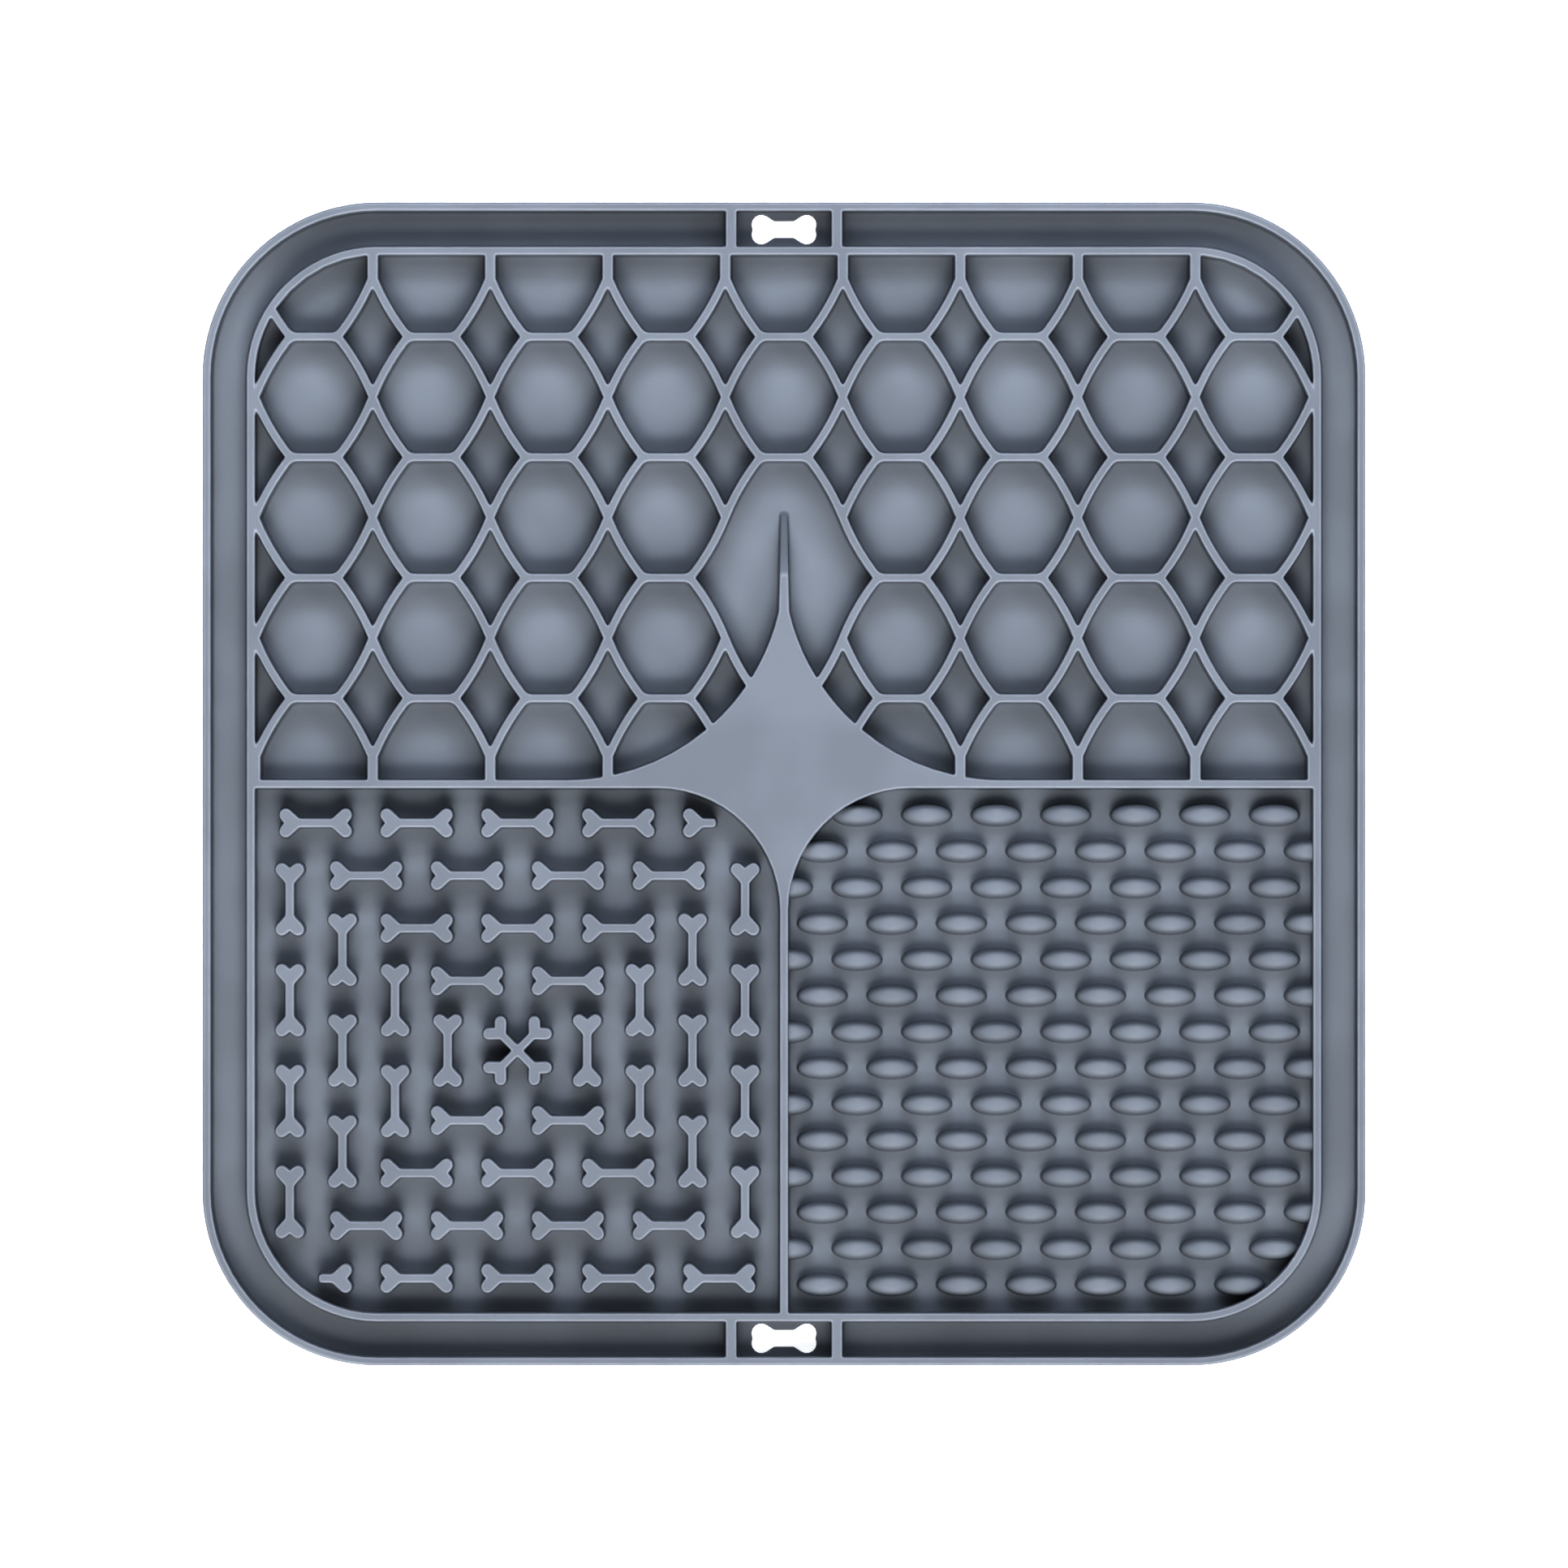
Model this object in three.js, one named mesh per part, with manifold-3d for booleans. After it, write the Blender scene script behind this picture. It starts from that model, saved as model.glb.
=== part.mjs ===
// A square lick mat for a dog, moulded in one piece of grey silicone and lying flat.
// A thin floor carries a rim, a gutter and a frame. The frame holds three fields: a honeycomb
// across the back, and below it a field of small bones and a field of oval pegs, parted by
// dividers that swell into a four-pointed star. A tab with a bone-shaped hole sits in the
// gutter at the middle of the back and of the front.
// Millimetres, with +X to the right, +Y to the back and +Z up. The underside is at Z = 0.

import * as THREE from 'three';
import { ConvexGeometry } from 'three/addons/geometries/ConvexGeometry.js';
import { mergeVertices } from 'three/addons/utils/BufferGeometryUtils.js';
import Module from 'manifold-3d';

const wasm = await Module();
wasm.setup();

// Whole mat
const SIDE = 200;
const CORNER_RADIUS = 30;
const HEIGHT = 9;
const FLOOR = 2;
const RIM = 1.45;
const GUTTER = 6.1;
const FRAME = 1.5;
const DIVIDER = 1.5;

// Tabs with the hanging holes
const TAB_HALF_WIDTH = 10.05;
const CROSS_RIB = 1.9;
const SEAM = 0.3;
const HANG_HOLE = {
  length: 11.2, head: 5.1, shaft: 2.9, lobe: 1.7, notch: 0.3, cleft: 27, flare: 3.9,
};

// Honeycomb: rows of flat bars, with bowed slanted ribs between them
const COLUMNS = 9;
const BAR_ROWS = 4;
const FIRST_BAR_Y = 14.74;
const ROW_PITCH = 20.73;
const BAR_LENGTH = 8.1;
const RIB = 1.5;
const RIB_BOW = 0.45;
const POST = 1.9;

// Star at the crossing of the dividers, with a spike that runs down to the floor
const STAR_REACH = 37.3;
const STAR_LOWER_RADIUS = 21;
const SPIKE_FULL_Y = 36;
const SPIKE_TIP_Y = 46.6;
const SPIKE_ROOT_HALF = 0.95;
const SPIKE_TIP_HALF = 0.5;

// Field of bones: square rings of bones round a crossed pair
const BONE = {
  length: 12.6, head: 5.1, shaft: 1.6, lobe: 1.25, notch: 0.95, cleft: 40, flare: 3.7,
};
const HALF_BONE_LENGTH = 5.8;
const BONE_RINGS = 4;
const FIRST_RING = 12;
const RING_STEP = 9.05;
const BONE_PITCH = 17.35;

// Field of pegs: staggered rows of ovals
const PEG_LENGTH = 8.7;
const PEG_WIDTH = 3.8;
const PEG_ROWS = 14;
const PEG_FIRST_Y = -5.22;
const PEG_FIRST_X = 0.6;
const PEG_PITCH_X = 11.98;
const PEG_PITCH_Y = 6.218;
const PEG_TOP = 8.7;
const PEG_CROWN_RISE = 1.1;
const PEG_RIDGE = 4;

// Finish
const SILICONE = { color: 0x8b95a2, roughness: 0.62, metalness: 0 };

// Steps of the round stretches
const CORNER_STEPS = 9;
const STAR_STEPS = 9;
const RIB_STEPS = 2;
const LOBE_STEPS = 2;
const HOLE_LOBE_STEPS = 6;
const PEG_SIDES = 8;

// Degrees round each lobe of a bone, from the line along the bone to the end beside the shaft.
// The other end, beside the notch, is the bone's own cleft angle on the other side of that line.
const LOBE_END = 126;

// How far solids that are joined or cut run into or past each other
const OVERLAP = 1;

// Sizes that follow from the ones above
const half = SIDE / 2;
const halfRimInside = half - RIM;
const halfFrame = halfRimInside - GUTTER;
const halfField = halfFrame - FRAME;
const frameRadius = CORNER_RADIUS - RIM - GUTTER;
const fieldRadius = frameRadius - FRAME;
const columnPitch = (2 * halfField) / COLUMNS;
const barHalf = BAR_LENGTH / 2;
const ABOVE = HEIGHT + OVERLAP;
const starFoot = DIVIDER / 2;
const spikeRootTurn = Math.acos(1 - SPIKE_ROOT_HALF / STAR_REACH);
const spikeRootY = starFoot + STAR_REACH * (1 - Math.sin(spikeRootTurn));

const point = (x, y) => new THREE.Vector2(x, y);

// The closed triangle mesh of a geometry as a solid that can be joined and cut.
function toSolid(geometry) {
  const bare = geometry.clone();
  bare.deleteAttribute('normal');
  bare.deleteAttribute('uv');
  const merged = mergeVertices(bare, 1e-4);
  const mesh = new wasm.Mesh({
    numProp: 3,
    vertProperties: new Float32Array(merged.attributes.position.array),
    triVerts: new Uint32Array(merged.index.array),
  });
  return new wasm.Manifold(mesh);
}

function toGeometry(solid) {
  const mesh = solid.getMesh();
  const geometry = new THREE.BufferGeometry();
  geometry.setAttribute('position', new THREE.BufferAttribute(mesh.vertProperties, 3));
  geometry.setIndex(new THREE.BufferAttribute(mesh.triVerts, 1));
  geometry.computeVertexNormals();
  return geometry;
}

// An upright prism over a plan outline, from one height to another.
function prism(shape, low, high, steps = CORNER_STEPS) {
  const options = { depth: high - low, bevelEnabled: false, curveSegments: steps };
  const geometry = new THREE.ExtrudeGeometry(shape, options);
  geometry.translate(0, 0, low);
  return toSolid(geometry);
}

const joined = (solids) => solids.reduce((all, one) => all.add(one));

// A rectangle with a radius at each corner, in the order front left, front right,
// back right, back left. A radius of 0 is a sharp corner.
function roundedRectangle(left, front, right, back, radii) {
  const [fl, fr, br, bl] = radii;
  const corners = [
    [left + fl, front + fl, fl, Math.PI],
    [right - fr, front + fr, fr, 1.5 * Math.PI],
    [right - br, back - br, br, 0],
    [left + bl, back - bl, bl, 0.5 * Math.PI],
  ];
  const shape = new THREE.Shape();
  shape.moveTo(left, front + fl);
  for (const [x, y, radius, start] of corners) {
    if (radius > 0) {
      shape.absarc(x, y, radius, start, start + Math.PI / 2);
    } else {
      shape.lineTo(x, y);
    }
  }
  shape.closePath();
  return shape;
}

const roundedSquare = (reach, radius) =>
  roundedRectangle(-reach, -reach, reach, reach, [radius, radius, radius, radius]);

const rectangle = (left, front, right, back) =>
  roundedRectangle(left, front, right, back, [0, 0, 0, 0]);

// The outline of a region, drawn in by the same distance all round. Points run anticlockwise.
function drawnIn(points, distance) {
  return points.map((here, i) => {
    const before = points[(i + points.length - 1) % points.length];
    const after = points[(i + 1) % points.length];
    const arriving = here.clone().sub(before).normalize();
    const leaving = after.clone().sub(here).normalize();
    const inward = point(-arriving.y - leaving.y, arriving.x + leaving.x);
    return here.clone().addScaledVector(inward, distance / (1 + arriving.dot(leaving)));
  });
}

// Honeycomb

// The centre line of a slanted rib of the cell round (x, y): from the end of its flat bar to the
// corner at its side, bowed away from the cell. right and up are 1 or -1.
function slantedRib(x, y, right, up) {
  const bar = point(x + right * barHalf, y + (up * ROW_PITCH) / 2);
  const corner = point(x + (right * columnPitch) / 2, y);
  const along = corner.clone().sub(bar).normalize();
  const outward = point(right * Math.abs(along.y), up * Math.abs(along.x));
  const middle = bar.clone().lerp(corner, 0.5).addScaledVector(outward, 2 * RIB_BOW);
  return new THREE.QuadraticBezierCurve(bar, middle, corner).getPoints(RIB_STEPS);
}

// The same rib from its side corner to its bar.
const ribBack = (x, y, right, up) => slantedRib(x, y, right, up).reverse();

function hexagon(x, y) {
  return [
    ...ribBack(x, y, 1, 1),
    ...slantedRib(x, y, -1, 1),
    ...ribBack(x, y, -1, -1).slice(1),
    ...slantedRib(x, y, 1, -1).slice(0, -1),
  ];
}

// The gap between four hexagons, centred between the ends of two bars.
function diamond(x, y) {
  const side = columnPitch / 2;
  const rise = ROW_PITCH / 2;
  return [
    ...slantedRib(x - side, y - rise, 1, 1).slice(0, -1),
    ...ribBack(x + side, y - rise, -1, 1).slice(0, -1),
    ...slantedRib(x + side, y + rise, -1, -1).slice(0, -1),
    ...ribBack(x - side, y + rise, 1, -1).slice(0, -1),
  ];
}

// A cell cut off by the frame or the divider, whose slanted ribs end in upright posts.
// away is 1 where the posts run to the back and -1 where they run to the front.
function openCell(x, y, away) {
  const postX = columnPitch / 2 - (POST - RIB) / 2;
  const endY = y + away * ROW_PITCH;
  const outline = [
    point(x - postX, y),
    ...ribBack(x, y, -1, -away).slice(1),
    ...slantedRib(x, y, 1, -away).slice(0, -1),
    point(x + postX, y),
    point(x + postX, endY),
    point(x - postX, endY),
  ];
  return away > 0 ? outline : outline.reverse();
}

// The wide cell round the star's spike, which takes the room of two hexagons and two diamonds.
function spikeCell(upperY) {
  const lowerY = upperY - ROW_PITCH;
  const right = [
    ...slantedRib(0, lowerY, 1, -1).slice(0, -1),
    ...ribBack(columnPitch, lowerY, -1, 1).slice(0, -1),
    ...slantedRib(columnPitch, upperY, -1, -1).slice(0, -1),
    ...ribBack(0, upperY, 1, 1),
  ];
  const left = right.map((p) => point(-p.x, p.y)).reverse();
  return [...right, ...left];
}

function honeycombOutlines() {
  const outlines = [];
  const last = (COLUMNS - 1) / 2;
  const lowestY = FIRST_BAR_Y - ROW_PITCH / 2;
  for (let column = -last; column <= last; column += 1) {
    const x = column * columnPitch;
    outlines.push(openCell(x, lowestY, -1));
    outlines.push(openCell(x, lowestY + BAR_ROWS * ROW_PITCH, 1));
    for (let row = 1; row < BAR_ROWS; row += 1) {
      const besideSpike = column === 0 && row < BAR_ROWS - 1;
      if (!besideSpike) {
        outlines.push(hexagon(x, lowestY + row * ROW_PITCH));
      }
    }
  }
  for (let column = -last; column <= last + 1; column += 1) {
    const x = (column - 0.5) * columnPitch;
    for (let row = 0; row < BAR_ROWS; row += 1) {
      const besideSpike = Math.abs(x) < columnPitch && row === 1;
      if (!besideSpike) {
        outlines.push(diamond(x, FIRST_BAR_Y + row * ROW_PITCH));
      }
    }
  }
  outlines.push(spikeCell(lowestY + 2 * ROW_PITCH));
  return outlines;
}

// Star

// The upper half of the star: two hollow arcs that leave the divider and meet the spike.
function starShape() {
  const centreY = starFoot + STAR_REACH;
  const shape = new THREE.Shape();
  shape.moveTo(-STAR_REACH, 0);
  shape.lineTo(STAR_REACH, 0);
  shape.absarc(STAR_REACH, centreY, STAR_REACH, 1.5 * Math.PI, Math.PI + spikeRootTurn, true);
  shape.lineTo(spikeHalf(SPIKE_FULL_Y), SPIKE_FULL_Y);
  shape.lineTo(-spikeHalf(SPIKE_FULL_Y), SPIKE_FULL_Y);
  shape.absarc(-STAR_REACH, centreY, STAR_REACH, -spikeRootTurn, -Math.PI / 2, true);
  shape.closePath();
  return shape;
}

// Half the spike's width at a distance behind the divider.
function spikeHalf(y) {
  const share = (y - spikeRootY) / (SPIKE_TIP_Y - spikeRootY);
  return THREE.MathUtils.lerp(SPIKE_ROOT_HALF, SPIKE_TIP_HALF, share);
}

// The end of the spike, which narrows and slopes down to the floor.
function spikeEnd() {
  const startY = SPIKE_FULL_Y - OVERLAP;
  const plan = new THREE.Shape([
    point(spikeHalf(startY), startY),
    point(SPIKE_TIP_HALF, SPIKE_TIP_Y),
    point(-SPIKE_TIP_HALF, SPIKE_TIP_Y),
    point(-spikeHalf(startY), startY),
  ]);
  const side = new THREE.Shape([
    point(startY - OVERLAP, 0),
    point(SPIKE_TIP_Y + OVERLAP, 0),
    point(SPIKE_TIP_Y, FLOOR),
    point(SPIKE_FULL_Y, HEIGHT),
    point(SPIKE_FULL_Y, ABOVE + OVERLAP),
    point(startY - OVERLAP, ABOVE + OVERLAP),
  ]);
  const width = 4 * SPIKE_ROOT_HALF;
  const slope = new THREE.ExtrudeGeometry(side, { depth: width, bevelEnabled: false });
  slope.rotateX(Math.PI / 2);
  slope.rotateZ(Math.PI / 2);
  slope.translate(-width / 2, 0, 0);
  return prism(plan, FLOOR / 2, ABOVE + 2 * OVERLAP).intersect(toSolid(slope));
}

// Bones

// One end of a bone that lies along X, from the shaft's front edge round two lobes to its back.
// The fewer corners a lobe has, the further out they lie, so that it keeps its size.
function boneHead(bone, steps) {
  const reach = bone.length / 2;
  const lobeX = reach - bone.lobe;
  const lobeY = bone.head / 2 - bone.lobe;
  const from = THREE.MathUtils.degToRad(-bone.cleft);
  const to = THREE.MathUtils.degToRad(LOBE_END);
  const radius = bone.lobe / Math.cos((to - from) / steps / 4);
  const backHalf = [
    point(reach - bone.notch, 0),
    ...new THREE.EllipseCurve(lobeX, lobeY, radius, radius, from, to).getPoints(steps),
    point(reach - bone.flare, bone.shaft / 2),
  ];
  const frontHalf = backHalf.slice(1).reverse().map((p) => point(p.x, -p.y));
  return [...frontHalf, ...backHalf];
}

function wholeBone(bone, steps = LOBE_STEPS) {
  const right = boneHead(bone, steps);
  return [...right, ...right.map((p) => point(-p.x, -p.y))];
}

// A head with a short end of shaft, where there is no room for the rest of the bone.
function halfBone(bone, steps = LOBE_STEPS) {
  const stub = bone.length / 2 - HALF_BONE_LENGTH;
  const end = bone.shaft / 2;
  return [point(stub, -end), ...boneHead(bone, steps), point(stub, end)];
}

const placed = (points, x, y, turn) =>
  points.map((p) => p.clone().rotateAround(point(0, 0), turn).add(point(x, y)));

// The outlines of all bones round the middle of their field at (x, y).
function boneOutlines(x, y) {
  const bone = wholeBone(BONE);
  const short = halfBone(BONE);
  const outlines = [placed(bone, x, y, Math.PI / 4), placed(bone, x, y, -Math.PI / 4)];
  for (let ring = 0; ring < BONE_RINGS; ring += 1) {
    const reach = FIRST_RING + ring * RING_STEP;
    for (let i = 0; i <= ring; i += 1) {
      const along = (i - ring / 2) * BONE_PITCH;
      outlines.push(placed(bone, x - reach, y + along, Math.PI / 2));
      outlines.push(placed(bone, x + reach, y + along, Math.PI / 2));
    }
    for (let i = 0; i <= ring + 1; i += 1) {
      const along = (i - (ring + 1) / 2) * BONE_PITCH;
      const lastInOuterRing = ring === BONE_RINGS - 1 && i === ring + 1;
      const whole = lastInOuterRing ? short : bone;
      outlines.push(placed(whole, x + along, y + reach, lastInOuterRing ? Math.PI : 0));
      outlines.push(placed(whole, x - along, y - reach, 0));
    }
  }
  return outlines;
}

// Pegs

// An oval peg along X with a rounded crown, standing from inside the floor.
function peg() {
  const corners = [];
  for (let i = 0; i < PEG_SIDES; i += 1) {
    const angle = (2 * Math.PI * i) / PEG_SIDES;
    const x = (PEG_LENGTH / 2) * Math.cos(angle);
    const y = (PEG_WIDTH / 2) * Math.sin(angle);
    corners.push(new THREE.Vector3(x, y, FLOOR / 2));
    corners.push(new THREE.Vector3(x, y, PEG_TOP - PEG_CROWN_RISE));
  }
  corners.push(new THREE.Vector3(-PEG_RIDGE / 2, 0, PEG_TOP));
  corners.push(new THREE.Vector3(PEG_RIDGE / 2, 0, PEG_TOP));
  return toSolid(new ConvexGeometry(corners));
}

function pegs() {
  const one = peg();
  const all = [];
  for (let row = 0; row < PEG_ROWS; row += 1) {
    const stagger = row % 2 === 0 ? 0 : PEG_PITCH_X / 2;
    for (let x = PEG_FIRST_X + stagger; x < halfField + PEG_LENGTH / 2; x += PEG_PITCH_X) {
      all.push(one.translate([x, PEG_FIRST_Y - row * PEG_PITCH_Y, 0]));
    }
  }
  return joined(all);
}

// Hollows that are sunk into the block

function gutter() {
  const outside = prism(roundedSquare(halfRimInside, CORNER_RADIUS - RIM), FLOOR, ABOVE);
  const inside = prism(roundedSquare(halfFrame, frameRadius), 0, ABOVE + OVERLAP);
  return outside.subtract(inside);
}

function honeycomb() {
  const field = roundedRectangle(-halfField, DIVIDER / 2, halfField, halfField, [
    0, 0, fieldRadius, fieldRadius,
  ]);
  const cells = honeycombOutlines().map((outline) =>
    prism(new THREE.Shape(drawnIn(outline, RIB / 2)), FLOOR / 2, ABOVE + OVERLAP),
  );
  const star = prism(starShape(), 0, ABOVE + 2 * OVERLAP, STAR_STEPS);
  return prism(field, FLOOR, ABOVE).intersect(joined(cells)).subtract(star).subtract(spikeEnd());
}

function boneField() {
  const edge = -DIVIDER / 2;
  const field = roundedRectangle(-halfField, -halfField, edge, edge, [
    fieldRadius, 0, STAR_LOWER_RADIUS, 0,
  ]);
  const middle = (edge - halfField) / 2;
  const bones = boneOutlines(middle, middle).map((outline) =>
    prism(new THREE.Shape(outline), 0, ABOVE + OVERLAP),
  );
  return prism(field, FLOOR, ABOVE).subtract(joined(bones));
}

function pegField() {
  const edge = DIVIDER / 2;
  const field = roundedRectangle(edge, -halfField, halfField, -edge, [
    0, fieldRadius, 0, STAR_LOWER_RADIUS,
  ]);
  return prism(field, FLOOR, ABOVE).subtract(pegs());
}

// The room that each tab takes up in the gutter, with half of the frame's wall.
function tabRoom(clearance) {
  const reach = TAB_HALF_WIDTH + clearance;
  const inner = (halfField + halfFrame + SEAM) / 2 - clearance;
  return rectangle(-reach, inner, reach, half + clearance);
}

function matSolid() {
  const block = prism(roundedSquare(half, CORNER_RADIUS), 0, HEIGHT);
  const backRoom = prism(tabRoom(SEAM), -OVERLAP, ABOVE + OVERLAP);
  const frontRoom = backRoom.rotate([0, 0, 180]);
  const hollows = [gutter(), honeycomb(), boneField(), pegField(), backRoom, frontRoom];
  return hollows.reduce((mat, hollow) => mat.subtract(hollow), block);
}

// A tab's floor has the bone-shaped hole. Its walls are a stretch of rim, two ribs that cross the
// gutter, and the outer face of the frame.
function tabSolid() {
  const inside = TAB_HALF_WIDTH - CROSS_RIB;
  const well = prism(rectangle(-inside, halfFrame, inside, halfRimInside), FLOOR, ABOVE);
  const hole = placed(wholeBone(HANG_HOLE, HOLE_LOBE_STEPS), 0, (halfFrame + halfRimInside) / 2, 0);
  return prism(tabRoom(0), 0, HEIGHT)
    .subtract(well)
    .subtract(prism(new THREE.Shape(hole), -OVERLAP, FLOOR + OVERLAP));
}

// A named piece of the mat in moulded silicone.
function piece(name, solid) {
  const material = new THREE.MeshStandardMaterial({ ...SILICONE, flatShading: true });
  const mesh = new THREE.Mesh(toGeometry(solid), material);
  mesh.name = name;
  return mesh;
}

const tab = tabSolid();
const backTab = piece('hang_tab_back', tab);
const frontTab = piece('hang_tab_front', tab);
frontTab.rotation.z = Math.PI;

const lickMat = new THREE.Group();
lickMat.add(piece('mat', matSolid()), backTab, frontTab);

export default lickMat;
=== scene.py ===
"""A square lick mat for a dog, moulded in one piece of blue-grey silicone, lying flat.

Every wall on it, whether it goes round a hollow or round a bone, is a plan outline that is carried
down one section: a rounded top edge, a wall with a little draft and a fillet at its foot. A peg is
a stack of ellipses that shrink towards its crown. Flat sheets close the tops, the floors and the
underside. The mat is one closed surface, but for the pegs that a wall cuts off, which are closed
forms sunk into it. Shapes are worked out in millimetres and placed in metres, in the frame of the
solids: +X to the right, +Y to the back, +Z up, with the underside at Z = 0.
"""

import logging
import math
from collections.abc import Sequence
from dataclasses import dataclass, field, replace
from enum import Enum

import bpy
import numpy as np
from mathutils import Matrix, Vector
from mathutils.geometry import delaunay_2d_cdt


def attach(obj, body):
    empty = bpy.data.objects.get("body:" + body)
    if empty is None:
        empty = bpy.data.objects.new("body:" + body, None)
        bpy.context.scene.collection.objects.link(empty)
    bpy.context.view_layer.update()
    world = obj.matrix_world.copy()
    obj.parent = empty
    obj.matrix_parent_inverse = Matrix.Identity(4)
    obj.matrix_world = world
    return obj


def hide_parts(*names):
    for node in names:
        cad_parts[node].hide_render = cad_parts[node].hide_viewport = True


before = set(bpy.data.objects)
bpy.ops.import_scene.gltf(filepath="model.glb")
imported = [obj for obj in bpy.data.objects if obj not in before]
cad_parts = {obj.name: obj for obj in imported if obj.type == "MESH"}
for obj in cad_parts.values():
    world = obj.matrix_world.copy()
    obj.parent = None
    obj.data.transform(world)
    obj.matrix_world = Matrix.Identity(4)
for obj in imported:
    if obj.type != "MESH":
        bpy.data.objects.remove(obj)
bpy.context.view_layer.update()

Array = np.ndarray
log = logging.getLogger("lick_mat")

MM = 0.001
# A length or a speed below this counts as nothing.
TINY = 1e-6
# Plan angles, anticlockwise from +X.
RIGHT, BACK, LEFT, FRONT = 0.0, 0.5 * math.pi, math.pi, 1.5 * math.pi
WHOLE_TURN = 2 * math.pi
# The shares of its full size that a wall's foot may shrink to in a small hollow.
FOOT_SHARES = (1.0, 0.7, 0.45, 0.3, 0.15, 0.05)


def heading(angle: float | Array) -> Array:
    """The unit vector at a plan angle, or one a row for many angles."""
    return np.stack([np.cos(angle), np.sin(angle)], axis=-1)


def cross(a: Array, b: Array) -> Array:
    """The cross product of plan vectors, pair by pair: how far b lies to the left of a."""
    return a[:, 0] * b[:, 1] - a[:, 1] * b[:, 0]


def turned(points: Array, angle: float, x: float = 0.0, y: float = 0.0) -> Array:
    """Plan points or rings turned about the vertical and then moved."""
    made = np.array(points, float)
    made[..., :2] = made[..., :2] @ [heading(angle), heading(angle + BACK)] + (x, y)
    return made


class Region(Enum):
    """Where an outline's region lies, seen from a round side's circle."""

    INSIDE = 1
    OUTSIDE = -1


class Stands(Enum):
    """What an outline's region is: air sunk into the mat, or silicone that stands up."""

    HOLLOW = 1
    RAISED = -1


@dataclass(frozen=True)
class Side:
    """One side of a plan outline. Walking along it keeps the region on the left.

    A straight side has radius 0, passes through (x, y) and faces into the region. A round side
    is centred on (x, y). span is the range of angles in which a round side cuts a hollow off.
    easing is the least radius of the corners at the side's ends.
    """

    x: float
    y: float
    facing: float = 0.0
    radius: float = 0.0
    region: Region = Region.INSIDE
    steps: int = 1
    span: tuple[float, float] | None = None
    easing: float = 0.3

    @property
    def inward(self) -> Array:
        """The direction in which a straight side faces."""
        return heading(self.facing)

    def mirrored(self) -> "Side":
        """The side's mirror image, left to right."""
        span = self.span and (math.pi - self.span[1], math.pi - self.span[0])
        return replace(self, x=-self.x, facing=math.pi - self.facing, span=span)

    def counts(self, points: Array) -> Array:
        """True for the points that lie within the side's span of angles."""
        if self.span is None:
            return np.ones(len(points), bool)
        first, last = self.span
        angle = np.arctan2(points[:, 1] - self.y, points[:, 0] - self.x)
        return (angle - first) % WHOLE_TURN <= last - first

    def clearance(self, points: Array) -> Array:
        """How far into the region each point lies: its distance from the side."""
        away = points - (self.x, self.y)
        if self.radius == 0:
            return away @ self.inward
        depth = self.region.value * (self.radius - np.hypot(*away.T))
        return np.where(self.counts(points), depth, np.inf)

    def reach(self, middle: Array, rays: Array) -> Array:
        """How far rays from a point go before they meet the side.

        Args:
            middle: The point, inside the region.
            rays: Unit directions, one a row.

        Returns:
            The distances, infinite for a ray that never meets the side. On a line it is the
            clearance over the ray's speed towards it, on a circle a root of the quadratic.
        """
        away = middle - (self.x, self.y)
        with np.errstate(divide="ignore", invalid="ignore"):
            if self.radius == 0:
                speed = -(rays @ self.inward)
                return np.where(speed > TINY, (away @ self.inward) / speed, np.inf)
            slope = rays @ away
            room = slope**2 - away @ away + self.radius**2
            far = -slope + self.region.value * np.sqrt(np.where(room > 0, room, np.nan))
        met = np.isfinite(far) & (far > 0)
        far = np.where(met, far, 1.0)
        met &= self.counts(middle + rays * far[:, None])
        return np.where(met, far, np.inf)


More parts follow.
